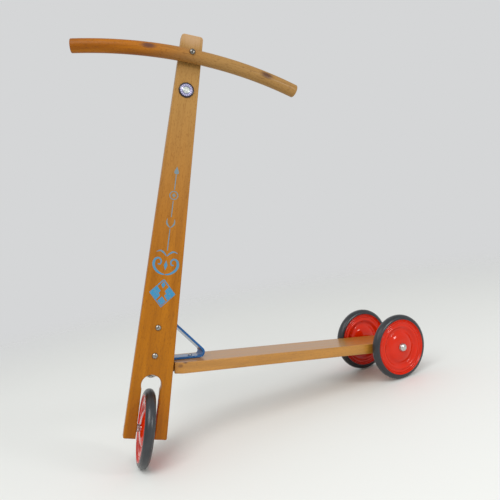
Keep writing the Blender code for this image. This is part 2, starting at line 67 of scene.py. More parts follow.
def node(tree, kind, settings, inputs):
    """Add a node with these settings; an input is a value or an output socket to link."""
    made = tree.nodes.new(kind)
    for name, value in settings.items():
        setattr(made, name, value)
    for name, value in inputs.items():
        if isinstance(value, bpy.types.NodeSocket):
            tree.links.new(value, made.inputs[name])
        else:
            made.inputs[name].default_value = value
    return made


def new_material(name):
    """An empty material and its node tree."""
    made = bpy.data.materials.new(name)
    made.use_nodes = True
    made.node_tree.nodes.clear()
    return made, made.node_tree


def surfaced(made, shader):
    """The material, with this shader as its surface."""
    node(made.node_tree, "ShaderNodeOutputMaterial", {}, {0: shader.outputs[0]})
    return made


def painted_floor():
    """Matt studio floor paint, clear beyond the fade so that no far edge shows."""
    made, tree = new_material("matt_floor_paint")
    place = node(tree, "ShaderNodeTexCoord", {}, {}).outputs["Object"]
    reach = node(tree, "ShaderNodeVectorMath", {"operation": "LENGTH"}, {0: place})
    fade = node(tree, "ShaderNodeMapRange", SMOOTH_STEP,
                {"Value": reach.outputs["Value"], "From Min": FLOOR_FADE[0],
                 "From Max": FLOOR_FADE[1]})
    paint = node(tree, "ShaderNodeBsdfPrincipled", {},
                 {"Base Color": linear(FLOOR_COLOUR), "Roughness": 0.6,
                  "Specular IOR Level": 0.3})
    clear = node(tree, "ShaderNodeBsdfTransparent", {}, {})
    both = node(tree, "ShaderNodeMixShader", {},
                {0: fade.outputs[0], 1: paint.outputs[0], 2: clear.outputs[0]})
    return surfaced(made, both)


bm = bmesh.new()
bmesh.ops.create_circle(bm, cap_ends=True, segments=96, radius=FLOOR_RADIUS)
floor_mesh = bpy.data.meshes.new("floor")
bm.to_mesh(floor_mesh)
bm.free()
floor_mesh.materials.append(painted_floor())
floor = bpy.data.objects.new("floor", floor_mesh)
show(floor)

room = bpy.data.worlds.new("room")
bpy.context.scene.world = room
room.use_nodes = True
room.node_tree.nodes["Background"].inputs["Color"].default_value = linear(ROOM_COLOUR)
room.node_tree.nodes["Background"].inputs["Strength"].default_value = 1.0
bpy.context.scene.view_settings.view_transform = 'Standard'


def lamp(name, place, size, power):
    """A square soft lamp that faces the scooter."""
    data = bpy.data.lights.new(name, 'AREA')
    data.size = size
    data.energy = power
    made = bpy.data.objects.new(name, data)
    made.location = place
    made.rotation_euler = (VIEW_TARGET - Vector(place)).to_track_quat('-Z', 'Y').to_euler()
    show(made)


lamp("high_soft_lamp", (1.35, -1.45, 2.55), size=1.9, power=42)
lamp("side_soft_lamp", (1.9, 0.85, 0.85), size=0.38, power=10)

camera_data = bpy.data.cameras.new("camera")
camera_data.lens = VIEW_LENS
camera_data.sensor_width = 36
camera = bpy.data.objects.new("camera", camera_data)
turned = (Matrix.Rotation(VIEW_AZIMUTH, 4, 'Z')
          @ Matrix.Rotation(math.pi / 2 - VIEW_ELEVATION, 4, 'X')
          @ Matrix.Rotation(VIEW_ROLL, 4, 'Z'))
camera.matrix_world = (Matrix.Translation(VIEW_TARGET) @ turned
                       @ Matrix.Translation((0, 0, VIEW_DISTANCE)))
show(camera)
bpy.context.scene.camera = camera

# ---------- the two working frames
# The stem's own frame stands on the steering axis: X along the front axle, Y to the rear, Z up
# the hinge pin.  The deck's frame lies on the plank's top where the pin comes through.
joints = {joint["name"]: joint for joint in frame["joints"]}


def framed(origin, x_axis, z_axis):
    """A matrix with this origin and these X and Z axes."""
    x_axis, z_axis = Vector(x_axis).normalized(), Vector(z_axis).normalized()
    y_axis = z_axis.cross(x_axis)
    turned = Matrix((x_axis, y_axis, z_axis)).transposed().to_4x4()
    return Matrix.Translation(Vector(origin)) @ turned


pin_point = Vector(joints["steering"]["pos_m"])
pin_axis = Vector(joints["steering"]["axis"]).normalized()
stem_place = framed(pin_point, joints["front_wheel_spin"]["axis"], pin_axis)
rear_end = next(m for m in frame["record"]["mounts"] if m["name"] == "deck_rear_end")
DECK_THICKNESS = 0.0222
deck_back = Vector(rear_end["axis"]).normalized()
deck_normal = Vector((1, 0, 0)).cross(deck_back)
deck_top = Vector(rear_end["pos_m"]) + deck_normal * DECK_THICKNESS / 2
deck_on_pin = (deck_top - pin_point).dot(deck_normal) / pin_axis.dot(deck_normal)
deck_place = framed(pin_point + pin_axis * deck_on_pin, (1, 0, 0), deck_normal)
rear_left = Vector(joints["rear_left_wheel_spin"]["pos_m"])
rear_right = Vector(joints["rear_right_wheel_spin"]["pos_m"])
axle_place = framed((rear_left + rear_right) / 2, (0, 0, -1), (1, 0, 0))

# ---------- the deck plank
# A beech plank, sawn, sanded and clear lacquered.  Its nose sits between the hinge ears and its
# shoulders are cut back so that the stem can swing past; all long edges are rounded over.
DECK_HALF_FRONT = 0.0475
DECK_HALF_REAR = 0.054
NOSE_RADIUS = 0.0135
NOSE_CENTRE = -0.0015
DECK_ROUND = 0.0032
DECK_CORNER = 0.006
SHOULDER_INNER = (0.0165, 0.0385)
SHOULDER_OUTER = (0.0395, 0.0335)
SHOULDER_END = 0.049
SHOULDER_RADII = (0.0015, 0.004)
PIN_RADIUS = 0.004
AXLE_RADIUS = 0.004
DRILL_PLAY = 0.0003
BOARD_BIT = 0.2                  # how long a drill that goes through a board is
SHARP_EDGE = math.radians(38)    # an edge that turns more than this is shaded sharp
COLOURS = {"data_type": 'RGBA'}
DECK_BEECH = ("B57C25", "A06C1B", "774816")
DECK_SHINE = (0.5, 0.45)
DECK_KNOTS = [((0.0445, 0.044, -0.007), (0.006, 0.007, 0.005), "5A2F10", 0.65),
              ((0.0465, 0.053, -0.001), (0.005, 0.007, 0.003), "4A260C", 0.8)]


def arc(centre, radius, start, end, steps):
    """Points of an arc in a plane, from one angle in degrees to another."""
    return [(centre[0] + radius * math.cos(math.radians(start + (end - start) * i / steps)),
             centre[1] + radius * math.sin(math.radians(start + (end - start) * i / steps)))
            for i in range(steps + 1)]


def rounded_path(corners, radii, steps=10):
    """A path through corners in a plane, each inner one rounded by an arc of its radius."""
    path = [corners[0]]
    for before, corner, after, radius in zip(corners, corners[1:], corners[2:], radii):
        corner, before, after = Vector(corner), Vector(before), Vector(after)
        back, ahead = (before - corner).normalized(), (after - corner).normalized()
        half = back.angle(ahead) / 2
        centre = corner + (back + ahead).normalized() * radius / math.sin(half)
        start = corner + back * radius / math.tan(half) - centre
        end = corner + ahead * radius / math.tan(half) - centre
        path += [tuple(centre + start.slerp(end, i / steps) * radius)
                 for i in range(steps + 1)]
    path.append(corners[-1])
    return path


def plate(outline, thickness, rounding, segments=5):
    """A flat board from Z = 0 up to its thickness, with its rim rounded over."""
    bm = bmesh.new()
    face = bm.faces.new([bm.verts.new((x, y, 0.0)) for x, y in outline])
    raised = bmesh.ops.extrude_face_region(bm, geom=[face])["geom"]
    bmesh.ops.translate(bm, vec=(0, 0, thickness),
                        verts=[v for v in raised if isinstance(v, bmesh.types.BMVert)])
    bmesh.ops.recalc_face_normals(bm, faces=bm.faces)
    rim = [e for e in bm.edges if abs(e.verts[0].co.z - e.verts[1].co.z) < thickness / 2]
    bmesh.ops.bevel(bm, geom=rim, offset=rounding, offset_type='OFFSET', segments=segments,
                    profile=0.5, affect='EDGES', material=-1, clamp_overlap=True)
    return bm


def drilled(bm, holes):
    """Bore holes for round shafts, each a (place, shaft radius, drill length) along Z there."""
    bits = bmesh.new()
    for place, shaft, length in holes:
        radius = shaft + DRILL_PLAY
        bmesh.ops.create_cone(bits, cap_ends=True, segments=40, radius1=radius, radius2=radius,
                              depth=length, matrix=place)
    pair = []
    for shape in (bm, bits):
        made = bpy.data.objects.new("on_the_drill", bpy.data.meshes.new("on_the_drill"))
        shape.to_mesh(made.data)
        shape.free()
        show(made)
        pair.append(made)
    cut = pair[0].modifiers.new("holes", 'BOOLEAN')
    cut.solver = 'EXACT'
    cut.object = pair[1]
    bored = bmesh.new()
    bored.from_object(pair[0], bpy.context.evaluated_depsgraph_get())
    for made in pair:
        bpy.data.objects.remove(made)
    return bored


def finish_piece(name, bm, place, material, body, nodes, flat_faces=False):
    """Put a shape made in its own frame in place and hand it to its body."""
    bmesh.ops.transform(bm, matrix=place, verts=bm.verts)
    mesh = bpy.data.meshes.new(name)
    bm.to_mesh(mesh)
    bm.free()
    mesh.materials.append(material)
    mesh.shade_smooth()
    mesh.set_sharp_from_angle(angle=SHARP_EDGE)
    piece = bpy.data.objects.new(name, mesh)
    show(piece)
    if flat_faces:
        weighted = piece.modifiers.new("flat_faces", 'WEIGHTED_NORMAL')
        weighted.keep_sharp = True
    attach(piece, body)
    if nodes:
        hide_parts(*nodes)
    return piece


def own_coordinates(tree, place):
    """Object coordinates turned into a piece's own frame."""
    here = node(tree, "ShaderNodeTexCoord", {}, {}).outputs["Object"]
    return node(tree, "ShaderNodeMapping", {"vector_type": 'TEXTURE'},
                {"Vector": here, "Location": place.translation,
                 "Rotation": place.to_euler()}).outputs[0]


def lacquered_beech(name, coordinates_of, along, colours, shine, fade=None, smudges=()):
    """Beech under clear lacquer: soft growth bands, fine fibre streaks, small dark flecks.

    Bands are some 12 mm wide and fibres 2 mm, coarser than real ones so that they show.
    The colours are pale, deep and streak; shine is the lacquer's (specular level, coat).
    A fade is (colour, where it starts and ends, amount), a smudge (middle, reach, colour, amount).
    """
    pale, deep, streak = colours
    made, tree = new_material(name)
    own = coordinates_of(tree)
    stretch = [1.0, 1.0, 1.0]
    stretch[along] = 0.06
    long = node(tree, "ShaderNodeMapping", {}, {"Vector": own, "Scale": stretch}).outputs[0]
    bands = node(tree, "ShaderNodeTexNoise", {},
                 {"Vector": long, "Scale": 70, "Detail": 3, "Roughness": 0.5,
                  "Distortion": 0.4})
    fibres = node(tree, "ShaderNodeTexNoise", {},
                  {"Vector": long, "Scale": 420, "Detail": 4, "Roughness": 0.65})
    stretch[along] = 0.22
    short = node(tree, "ShaderNodeMapping", {}, {"Vector": own, "Scale": stretch}).outputs[0]
    flecks = node(tree, "ShaderNodeTexNoise", {},
                  {"Vector": short, "Scale": 800, "Detail": 1, "Roughness": 0.4})
    band_part = node(tree, "ShaderNodeMapRange", {},
                     {"Value": bands.outputs[0], "From Min": 0.36, "From Max": 0.66})
    colour = node(tree, "ShaderNodeMix", COLOURS,
                  {0: band_part.outputs[0], 6: linear(deep), 7: linear(pale)}).outputs[2]
    if fade:
        faded, low, high, most = fade
        height = node(tree, "ShaderNodeSeparateXYZ", {}, {0: own}).outputs[along]
        part = node(tree, "ShaderNodeMapRange", SMOOTH_STEP,
                    {"Value": height, "From Min": low, "From Max": high, "To Max": most})
        colour = node(tree, "ShaderNodeMix", COLOURS,
                      {0: part.outputs[0], 6: colour, 7: linear(faded)}).outputs[2]
    fibre_part = node(tree, "ShaderNodeMapRange", {},
                      {"Value": fibres.outputs[0], "From Min": 0.5, "From Max": 0.72,
                       "To Max": 0.3})
    fibrous = node(tree, "ShaderNodeMix", COLOURS,
                   {0: fibre_part.outputs[0], 6: colour, 7: linear(streak)})
    fleck_part = node(tree, "ShaderNodeMapRange", {},
                      {"Value": flecks.outputs[0], "From Min": 0.6, "From Max": 0.68,
                       "To Max": 0.34})
    flecked = node(tree, "ShaderNodeMix", COLOURS,
                   {0: fleck_part.outputs[0], 6: fibrous.outputs[2], 7: linear(streak)})
    colour = flecked.outputs[2]
    for centre, reach, dark, most in smudges:
        gap = node(tree, "ShaderNodeVectorMath", {"operation": 'SUBTRACT'},
                   {0: own, 1: centre})
        sized = node(tree, "ShaderNodeVectorMath", {"operation": 'DIVIDE'},
                     {0: gap.outputs[0], 1: reach})
        away = node(tree, "ShaderNodeVectorMath", {"operation": 'LENGTH'},
                    {0: sized.outputs[0]})
        ragged = node(tree, "ShaderNodeMath", {"operation": 'MULTIPLY_ADD'},
                      {0: fibres.outputs[0], 1: 0.9, 2: away.outputs["Value"]})
        part = node(tree, "ShaderNodeMapRange", SMOOTH_STEP,
                    {"Value": ragged.outputs[0], "From Min": 0.65, "From Max": 1.45,
                     "To Min": most, "To Max": 0.0})
        colour = node(tree, "ShaderNodeMix", COLOURS,
                      {0: part.outputs[0], 6: colour, 7: linear(dark)}).outputs[2]
    relief = node(tree, "ShaderNodeBump", {},
                  {"Height": fibres.outputs[0], "Strength": 0.07, "Distance": 0.0004})
    polish = node(tree, "ShaderNodeMapRange", {},
                  {"Value": bands.outputs[0], "From Min": 0.3, "From Max": 0.7,
                   "To Min": 0.36, "To Max": 0.5})
    shader = node(tree, "ShaderNodeBsdfPrincipled", {},
                  {"Base Color": colour, "Roughness": polish.outputs[0], "IOR": 1.5,
                   "Specular IOR Level": shine[0], "Coat Weight": shine[1],
                   "Coat Roughness": 0.16, "Normal": relief.outputs[0]})
    return surfaced(made, shader)


deck_length = (Vector(rear_end["pos_m"]) - deck_place.translation).dot(deck_back)
shoulder = rounded_path([SHOULDER_INNER, SHOULDER_OUTER, (DECK_HALF_FRONT, SHOULDER_END),
                         (DECK_HALF_REAR, deck_length - DECK_CORNER)], SHOULDER_RADII, steps=5)
right_side = (arc((0.0, NOSE_CENTRE), NOSE_RADIUS, -90, 0, 10) + shoulder[:-1]
              + arc((DECK_HALF_REAR - DECK_CORNER, deck_length - DECK_CORNER), DECK_CORNER,
                    0, 90, 6))
deck_outline = right_side + [(-x, y) for x, y in reversed(right_side[1:])]
bm = plate(deck_outline, DECK_THICKNESS, DECK_ROUND)
bmesh.ops.translate(bm, vec=(0, 0, -DECK_THICKNESS), verts=bm.verts)
pin_in_deck = deck_place.inverted() @ stem_place
axle_in_deck = deck_place.inverted() @ axle_place
bm = drilled(bm, [(pin_in_deck, PIN_RADIUS, BOARD_BIT),
                  (axle_in_deck, AXLE_RADIUS, 4 * DECK_HALF_REAR)])
deck_beech = lacquered_beech(
    "lacquered_beech_deck", lambda tree: own_coordinates(tree, deck_place), 1,
    DECK_BEECH, DECK_SHINE, smudges=DECK_KNOTS)
finish_piece("deck_plank", bm, deck_place, deck_beech, "deck",
             ["deck_board"], flat_faces=True)

# ---------- the brace strap
# Flat mild steel, bent cold to a V and sprayed with blue enamel.  One arm is screwed to the
# plank, the other comes back to the top of the hinge pin and stiffens it.
STRAP_THICKNESS = 0.0045
STRAP_HALF_WIDTH = 0.0155
STRAP_REACH = 0.1239
STRAP_ANGLE = math.radians(43.4)
STRAP_BEND = 0.01075
TAB_HEIGHT = 0.098
TAB_BEND = 0.005
STRAP_PAST_PIN = 0.013
STRAP_END_RADIUS = 0.011
STRAP_BROKEN = 0.0007
SCREW_PLACES = (0.035, 0.08)
SCREW_SHANK = 0.0018
SHORT_BIT = 0.02                 # long enough for sheet steel
LONG_BIT = 0.4                   # long enough for both ends of a bent strip
AIR = 0.0003                     # between pieces that touch
BLUE_ENAMEL = "195D9C"


def round_over(bm, edges, offset, segments):
    """Round these edges over."""
    bmesh.ops.bevel(bm, geom=edges, offset=offset, segments=segments, profile=0.5,
                    affect='EDGES', material=-1)


def bent_strip(path, half_width, thickness, end_radius, broken):
    """A flat strip along a path in the YZ plane, with round ends and its edges broken."""
    bm = bmesh.new()
    first = [bm.verts.new((side * half_width, *path[0])) for side in (-1, 1)]
    row = [bm.edges.new(first)]
    for here, there in zip(path, path[1:]):
        grown = bmesh.ops.extrude_edge_only(bm, edges=row)["geom"]
        row = [g for g in grown if isinstance(g, bmesh.types.BMEdge)]
        fresh = [g for g in grown if isinstance(g, bmesh.types.BMVert)]
        bmesh.ops.translate(bm, vec=(0, there[0] - here[0], there[1] - here[1]), verts=fresh)
    corners = [v for v in bm.verts if len(v.link_edges) == 2]
    bmesh.ops.bevel(bm, geom=corners, offset=end_radius, segments=8, profile=0.5,
                    affect='VERTICES', material=-1)
    bmesh.ops.recalc_face_normals(bm, faces=bm.faces)
    bmesh.ops.solidify(bm, geom=bm.faces[:] + bm.edges[:] + bm.verts[:], thickness=thickness)
    sharp = [e for e in bm.edges if e.calc_face_angle(0) > math.radians(50)]
    round_over(bm, sharp, broken, segments=3)
    return bm


def enamelled_steel(name, place, colour, worn, chipping):
    """Gloss enamel on steel: even colour, faint orange peel, small dull chips and scuffs.

    The higher the chipping value, the fewer the chips; they are 1 to 3 mm across.
    """
    made, tree = new_material(name)
    own = own_coordinates(tree, place)
    peel = node(tree, "ShaderNodeTexNoise", {}, {"Vector": own, "Scale": 500, "Detail": 1})
    chips = node(tree, "ShaderNodeTexNoise", {},
                 {"Vector": own, "Scale": 210, "Detail": 5, "Roughness": 0.7})
    chip_part = node(tree, "ShaderNodeMapRange", {},
                     {"Value": chips.outputs[0], "From Min": chipping,
                      "From Max": chipping + 0.03, "To Max": 0.8})
    tone = node(tree, "ShaderNodeTexNoise", {}, {"Vector": own, "Scale": 25, "Detail": 2})
    shade = node(tree, "ShaderNodeMix", {"data_type": 'RGBA', "blend_type": 'MULTIPLY'},
                 {0: 0.18, 6: linear(colour), 7: tone.outputs[1]})
    paint = node(tree, "ShaderNodeMix", COLOURS,
                 {0: chip_part.outputs[0], 6: shade.outputs[2], 7: linear(worn)})
    gloss = node(tree, "ShaderNodeMapRange", {},
                 {"Value": chips.outputs[0], "From Min": chipping - 0.06,
                  "From Max": chipping + 0.03, "To Min": 0.14, "To Max": 0.5})
    relief = node(tree, "ShaderNodeBump", {},
                  {"Height": peel.outputs[0], "Strength": 0.02, "Distance": 0.0002})
    shader = node(tree, "ShaderNodeBsdfPrincipled", {},
                  {"Base Color": paint.outputs[2], "Roughness": gloss.outputs[0],
                   "IOR": 1.5, "Specular IOR Level": 0.12, "Coat Weight": 0.42,
                   "Coat Roughness": 0.09, "Normal": relief.outputs[0]})
    return surfaced(made, shader)


lean = math.asin(max(-1.0, min(1.0, pin_axis.dot(deck_place.to_3x3() @ Vector((0, 1, 0))))))
pin_up = Vector((math.sin(lean), math.cos(lean)))
pin_back = Vector((math.cos(lean), -math.sin(lean)))
level = STRAP_THICKNESS / 2 + AIR
tab = pin_up * TAB_HEIGHT
rise = Vector((-math.cos(STRAP_ANGLE), math.sin(STRAP_ANGLE)))
offset = Vector((STRAP_REACH, level)) - tab
along = (offset.x * rise.y - offset.y * rise.x) / (pin_back.x * rise.y - pin_back.y * rise.x)
strap_path = rounded_path([(-STRAP_PAST_PIN, level), (STRAP_REACH, level),
                           tuple(tab + pin_back * along),
                           tuple(tab - pin_back * STRAP_PAST_PIN)], (STRAP_BEND, TAB_BEND))
bm = bent_strip(strap_path, STRAP_HALF_WIDTH, STRAP_THICKNESS, STRAP_END_RADIUS, STRAP_BROKEN)
strap_low = min(v.co.z for v in bm.verts)
bmesh.ops.translate(bm, vec=(0, 0, AIR - strap_low), verts=bm.verts)
screw_holes = [(Matrix.Translation((0, place, level)), SCREW_SHANK, SHORT_BIT)
               for place in SCREW_PLACES]
bm = drilled(bm, [(pin_in_deck, PIN_RADIUS, LONG_BIT), *screw_holes])
blue_enamel = enamelled_steel("blue_enamel_on_steel", deck_place, BLUE_ENAMEL, worn="2A2E36",
                              chipping=0.66)
finish_piece("brace_strap_enamelled", bm, deck_place, blue_enamel, "deck",
             ["brace_strap"], flat_faces=True)

# ---------- the strap's screws
# Two round-head wood screws of steel, zinc plated and gone dull.  They are driven through the
# strap's lower arm into the plank.
SCREW_HEAD = 0.0042
SCREW_RISE = 0.0022
SCREW_LENGTH = 0.018
HEAD_RIM = 0.0007
SHANK_POINT = 0.0006
BROKEN = 0.0002                  # taken off the corners of small fittings
TOUCHING = 1e-6                  # points nearer than this are one
FRESH_ZINC = ("DAD9D5", "A8A6A1")


def zinc_plate(name, place, tones):
    """Zinc plating gone dull: soft grey handling marks, duller where they are greyer."""
    made, tree = new_material(name)
    own = own_coordinates(tree, place)
    marks = node(tree, "ShaderNodeTexNoise", {},
                 {"Vector": own, "Scale": 260, "Detail": 4, "Roughness": 0.6})
    tint = node(tree, "ShaderNodeMapRange", {},
                {"Value": marks.outputs[0], "From Min": 0.35, "From Max": 0.7})
    colour = node(tree, "ShaderNodeMix", COLOURS,
                  {0: tint.outputs[0], 6: linear(tones[0]), 7: linear(tones[1])})
    dull = node(tree, "ShaderNodeMapRange", {},
                {"Value": marks.outputs[0], "From Min": 0.35, "From Max": 0.7,
                 "To Min": 0.16, "To Max": 0.38})
    shader = node(tree, "ShaderNodeBsdfPrincipled", {},
                  {"Base Color": colour.outputs[2], "Metallic": 1.0,
                   "Roughness": dull.outputs[0]})
    return surfaced(made, shader)


def turned_shape(profile, steps=48, closed=False):
    """Spin a profile of (radius, height) points about Z to a closed skin."""
    bm = bmesh.new()
    corners = [bm.verts.new((radius, 0.0, height)) for radius, height in profile]
    edges = [bm.edges.new(pair) for pair in zip(corners, corners[1:])]
    if closed:
        edges.append(bm.edges.new((corners[-1], corners[0])))
    bmesh.ops.spin(bm, geom=corners + edges, cent=(0, 0, 0), axis=(0, 0, 1),
                   angle=2 * math.pi, steps=steps, use_merge=True)
    bmesh.ops.remove_doubles(bm, verts=bm.verts, dist=TOUCHING)
    bmesh.ops.recalc_face_normals(bm, faces=bm.faces)
    return bm


def domed_head(radius, rise, shank, length):
    """The profile of a bolt: its dome, the head's flat seat, and the plain shank."""
    dome = [(radius * math.sin(math.radians(a)), AIR + HEAD_RIM
             + rise * math.cos(math.radians(a))) for a in range(0, 91, 9)]
    return dome + [(radius, AIR + BROKEN), (radius - BROKEN, AIR), (shank, AIR),
                   (shank, -length + SHANK_POINT), (shank - SHANK_POINT, -length),
                   (0.0, -length)]


zinc_on_deck = zinc_plate("zinc_plate_deck", deck_place, FRESH_ZINC)
for end, place in zip(("front", "rear"), SCREW_PLACES):
    bm = turned_shape(domed_head(SCREW_HEAD, SCREW_RISE, SCREW_SHANK, SCREW_LENGTH))
    bmesh.ops.translate(bm, vec=(0, place, STRAP_THICKNESS + AIR), verts=bm.verts)
    finish_piece(f"round_head_screw_{end}", bm, deck_place, zinc_on_deck,
                 "deck", [f"strap_screw_{end}"])

# ---------- rear axle and its fittings
# A bright drawn rod through the plank.  Thin washers keep the hubs off the wood, and a
# push-on cap of spun steel holds each wheel on.
HUB_HALF = 0.0125
AXLE_PAST_HUB = 0.003
AXLE_BROKEN = 0.0005
THRUST_RADIUS = 0.0085
CAP_DOME = 0.0088
CAP_RISE = 0.0044
CAP_WALL = 0.0028
CAP_FLANGE = ((0.009, 0.0016), (0.0096, 0.0009), (0.0097, 0.0004), (0.0094, 0.0))
CAP_DEPTH = 0.0038
CAP_FULLNESS = 0.9               # below 1, the dome is fuller than a half round


def plain_rod(reach):
    """The axle rod, this far to each side of its middle, its ends' corners broken."""
    edge = AXLE_RADIUS - AXLE_BROKEN
    flat = reach - AXLE_BROKEN
    return turned_shape([(0.0, reach), (edge, reach), (AXLE_RADIUS, flat),
                         (AXLE_RADIUS, -flat), (edge, -reach), (0.0, -reach)])


def tube(shaft, radius, low, high, broken=BROKEN):
    """A tube or washer for a shaft, from one height to another, its outer corners broken."""
    bore = shaft + AIR
    return turned_shape([(radius, high - broken), (radius, low + broken),
                         (radius - broken, low), (bore, low), (bore, high),
                         (radius - broken, high)], closed=True)


track_half = (rear_left - rear_right).length / 2
zinc_on_axle = zinc_plate("zinc_plate_axle", axle_place, FRESH_ZINC)
finish_piece("rear_axle_rod", plain_rod(track_half + HUB_HALF + AXLE_PAST_HUB), axle_place,
             zinc_on_axle, "deck", ["rear_axle"])
for side, sign in (("left", 1), ("right", -1)):
    side_place = framed(axle_place.translation, (0, 0, -1), (sign, 0, 0))
    seat = track_half + HUB_HALF + AIR
    cap = [(CAP_DOME * math.sin(math.radians(a)) ** CAP_FULLNESS, seat + CAP_WALL
            + CAP_RISE * math.cos(math.radians(a))) for a in range(0, 91, 9)]
    cap += [(radius, seat + height) for radius, height in CAP_FLANGE]
    cap += [(AXLE_RADIUS + AIR, seat), (AXLE_RADIUS + AIR, seat + CAP_DEPTH),
            (0.0, seat + CAP_DEPTH)]
    finish_piece(f"push_on_cap_{side}", turned_shape(cap), side_place, zinc_on_axle,
                 "deck", [f"rear_cap_{side}"])
    bm = tube(AXLE_RADIUS, THRUST_RADIUS, DECK_HALF_REAR + AIR, track_half - HUB_HALF - AIR)
    finish_piece(f"rear_thrust_washer_{side}", bm, side_place, zinc_on_axle,
                 "deck", [f"rear_washer_{side}"])

# ---------- the three wheels
# Each is two discs pressed from thin sheet, back to back and sprayed with red enamel: a
# crowned middle, a deep groove, two rolled rings and a lip that grips a solid rubber tyre.
HUB_RADIUS = 0.0056
TUBE_BROKEN = 0.0003
DISC_PROFILE = ((0.0060, 0.0119), (0.0120, 0.0117), (0.0200, 0.0108), (0.0275, 0.0091),
                (0.0325, 0.0070), (0.0358, 0.0048), (0.0380, 0.0036), (0.0405, 0.0032),
                (0.0430, 0.0040), (0.0456, 0.0062), (0.0482, 0.0080), (0.0508, 0.0082),
                (0.0532, 0.0068), (0.0548, 0.0064), (0.0566, 0.0076), (0.0584, 0.0074),
                (0.0600, 0.0060), (0.0615, 0.0066), (0.0626, 0.0086), (0.0632, 0.0098),
                (0.0637, 0.0101), (0.0640, 0.0096), (0.0634, 0.0078), (0.0620, 0.0048),
                (0.0606, 0.0030), (0.0600, 0.0012))
DISC_SHEET = 0.0008
TYRE_PROFILE = ((0.0749, 0.0000), (0.0748, 0.0014), (0.0745, 0.0029), (0.0740, 0.0043),
                (0.0733, 0.0056), (0.0731, 0.0059), (0.0728, 0.0061), (0.0719, 0.0068),
                (0.0706, 0.0080), (0.0690, 0.0091), (0.0670, 0.0098), (0.0652, 0.0100),
                (0.0643, 0.0096), (0.0640, 0.0084), (0.0628, 0.0062), (0.0614, 0.0042),
                (0.0612, 0.0020))
RED_ENAMEL = "D42500"


def smooth_line(points, steps):
    """More points on a smooth curve through these."""
    ends = [points[0], *points, points[-1]]
    line = []
    for a, b, c, d in zip(ends, ends[1:], ends[2:], ends[3:]):
        for i in range(steps):
            t = i / steps
            weights = (-t / 2 + t * t - t ** 3 / 2, 1 - 2.5 * t * t + 1.5 * t ** 3,
                       t / 2 + 2 * t * t - 1.5 * t ** 3, (t ** 3 - t * t) / 2)
            line.append(tuple(sum(w * p[k] for w, p in zip(weights, (a, b, c, d)))
                              for k in (0, 1)))
    return line + [points[-1]]


def from_axis(tree, own):
    """How far a point is from the piece's own Z axis."""
    across = node(tree, "ShaderNodeVectorMath", {"operation": 'MULTIPLY'},
                  {0: own, 1: (1, 1, 0)})
    return node(tree, "ShaderNodeVectorMath", {"operation": 'LENGTH'},
                {0: across.outputs[0]}).outputs["Value"]


def solid_rubber(name, place):
    """Old solid rubber: charcoal with a low shine, dusty grey on the tread, finely gritty."""
    made, tree = new_material(name)
    own = own_coordinates(tree, place)
    grit = node(tree, "ShaderNodeTexNoise", {},
                {"Vector": own, "Scale": 600, "Detail": 4, "Roughness": 0.7})
    bloom = node(tree, "ShaderNodeTexNoise", {},
                 {"Vector": own, "Scale": 60, "Detail": 3, "Roughness": 0.6})
    tread = node(tree, "ShaderNodeMapRange", {},
                 {"Value": from_axis(tree, own), "From Min": 0.0725, "From Max": 0.0748,
                  "To Max": 0.36})
    dusty = node(tree, "ShaderNodeMath", {"operation": 'MULTIPLY'},
                 {0: tread.outputs[0], 1: bloom.outputs[0]})
    base = node(tree, "ShaderNodeMix", COLOURS,
                {0: bloom.outputs[0], 6: linear("0E1115"), 7: linear("1F242B")})
    colour = node(tree, "ShaderNodeMix", COLOURS,
                  {0: dusty.outputs[0], 6: base.outputs[2], 7: linear("4E4F52")})
    relief = node(tree, "ShaderNodeBump", {},
                  {"Height": grit.outputs[0], "Strength": 0.45, "Distance": 0.0005})
    shader = node(tree, "ShaderNodeBsdfPrincipled", {},
                  {"Base Color": colour.outputs[2], "Roughness": 0.29, "IOR": 1.52,
                   "Specular IOR Level": 0.6, "Normal": relief.outputs[0]})
    return surfaced(made, shader)


def build_wheel(prefix, body, place):
    """Two discs, the tyre and the hub tube of one wheel, about the axle at its place."""
    enamel = enamelled_steel(f"red_enamel_{prefix}", place, RED_ENAMEL, worn="8A2A1A",
                             chipping=0.76)
    rubber = solid_rubber(f"solid_rubber_{prefix}", place)
    zinc = zinc_plate(f"zinc_plate_{prefix}", place, FRESH_ZINC)
    for side, flip in (("outer", Matrix.Identity(4)),
                       ("inner", Matrix.Rotation(math.pi, 4, 'X'))):
        bm = turned_shape(smooth_line(DISC_PROFILE, 3), steps=128)
        bmesh.ops.solidify(bm, geom=bm.faces[:] + bm.edges[:] + bm.verts[:],
                           thickness=DISC_SHEET)
        bmesh.ops.recalc_face_normals(bm, faces=bm.faces)
        bmesh.ops.transform(bm, matrix=flip, verts=bm.verts)
        finish_piece(f"{prefix}_pressed_disc_{side}", bm, place, enamel, body,
                     [f"{prefix}_disc_{side}"])
    half = smooth_line(TYRE_PROFILE, 2)
    whole = half + [(radius, -height) for radius, height in reversed(half[1:])]
    bm = turned_shape(whole, steps=128, closed=True)
    finish_piece(f"{prefix}_rubber_tyre", bm, place, rubber, body,
                 [f"{prefix}_tyre"])
    bm = tube(AXLE_RADIUS, HUB_RADIUS, -HUB_HALF, HUB_HALF, TUBE_BROKEN)
    finish_piece(f"{prefix}_hub_tube", bm, place, zinc, body,
                 [f"{prefix}_hub"])


front_centre = Vector(joints["front_wheel_spin"]["pos_m"])
front_place = framed(front_centre, -pin_axis, joints["front_wheel_spin"]["axis"])
build_wheel("rear_left", "rear_wheel_left", framed(rear_left, (0, 0, -1), (1, 0, 0)))
build_wheel("rear_right", "rear_wheel_right", framed(rear_right, (0, 0, -1), (-1, 0, 0)))
build_wheel("front", "front_wheel", front_place)

